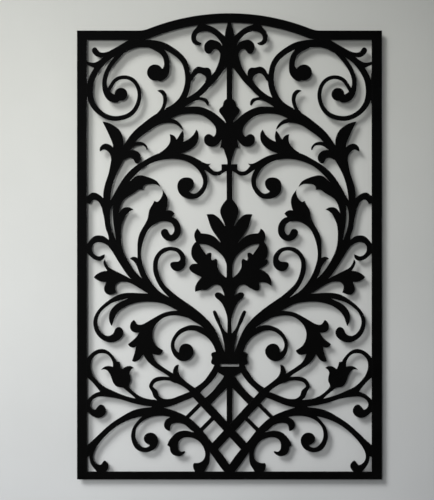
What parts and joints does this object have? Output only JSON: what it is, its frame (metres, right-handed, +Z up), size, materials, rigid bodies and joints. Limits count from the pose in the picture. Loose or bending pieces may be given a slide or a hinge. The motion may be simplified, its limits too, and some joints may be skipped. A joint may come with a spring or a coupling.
{
  "type": "fireplace cover",
  "caption": "Arched wrought-iron fireplace cover: a flat-bar frame filled with welded scrolls, leaves and flowers, hung flat on a wall by keyhole hangers.",
  "frame": {"origin": "on the wall plane, midway between the axes of the two wall screws", "axes": "+X to the viewer's right, +Y into the wall, +Z up"},
  "size_m": [0.61, 0.0605, 0.9325],
  "materials": {
    "black_coated_steel": "matte black powder coat",
    "zinc_steel": "bright zinc plating",
    "black_rubber": "matte"
  },
  "bodies": {
    "wall_fixings": {"wall_screws": "zinc_steel"},
    "cover": {"base_scrolls": "black_coated_steel", "bottom_rail": "black_coated_steel", "bouquet_collar": "black_coated_steel", "bumpers": "black_rubber", "corner_sprigs": "black_coated_steel", "crown_calyx": "black_coated_steel", "finial_curls": "black_coated_steel", "finial_spear": "black_coated_steel", "hangers": "black_coated_steel", "hoops": "black_coated_steel", "lattice_rod": "black_coated_steel", "lattice_slats": "black_coated_steel", "lattice_straps": "black_coated_steel", "left_acanthus_scroll": "black_coated_steel", "left_base_arch": "black_coated_steel", "left_bellflower": "black_coated_steel", "left_corner_scroll": "black_coated_steel", "left_crook_scroll": "black_coated_steel", "left_crown_scroll": "black_coated_steel", "left_lattice_bar": "black_coated_steel", "left_low_vine": "black_coated_steel", "left_main_vine": "black_coated_steel", "left_mid_vine": "black_coated_steel", "left_palmette_leaf": "black_coated_steel", "left_reed_scroll": "black_coated_steel", "left_snail_scroll": "black_coated_steel", "left_stile": "black_coated_steel", "left_tall_leaf": "black_coated_steel", "left_upper_vine": "black_coated_steel", "lower_rod": "black_coated_steel", "palmette_stem": "black_coated_steel", "right_acanthus_scroll": "black_coated_steel", "right_base_arch": "black_coated_steel", "right_bellflower": "black_coated_steel", "right_corner_scroll": "black_coated_steel", "right_crook_scroll": "black_coated_steel", "right_crown_scroll": "black_coated_steel", "right_lattice_bar": "black_coated_steel", "right_low_vine": "black_coated_steel", "right_main_vine": "black_coated_steel", "right_mid_vine": "black_coated_steel", "right_palmette_leaf": "black_coated_steel", "right_reed_scroll": "black_coated_steel", "right_snail_scroll": "black_coated_steel", "right_stile": "black_coated_steel", "right_tall_leaf": "black_coated_steel", "right_upper_vine": "black_coated_steel", "rod_collar": "black_coated_steel", "sprout_blades": "black_coated_steel", "stalk_curls": "black_coated_steel", "stem_calyx": "black_coated_steel", "stile_curls": "black_coated_steel", "strap_yoke": "black_coated_steel", "top_rail": "black_coated_steel", "tulips": "black_coated_steel", "upper_rod": "black_coated_steel", "vine_leaves": "black_coated_steel", "vine_sprigs": "black_coated_steel"}
  },
  "joints": [
    {"name": "lift_off", "type": "slide", "parent": "wall_fixings", "child": "cover", "axis": [0, 0, 1], "range_m": [0, 0.012]}
  ]
}
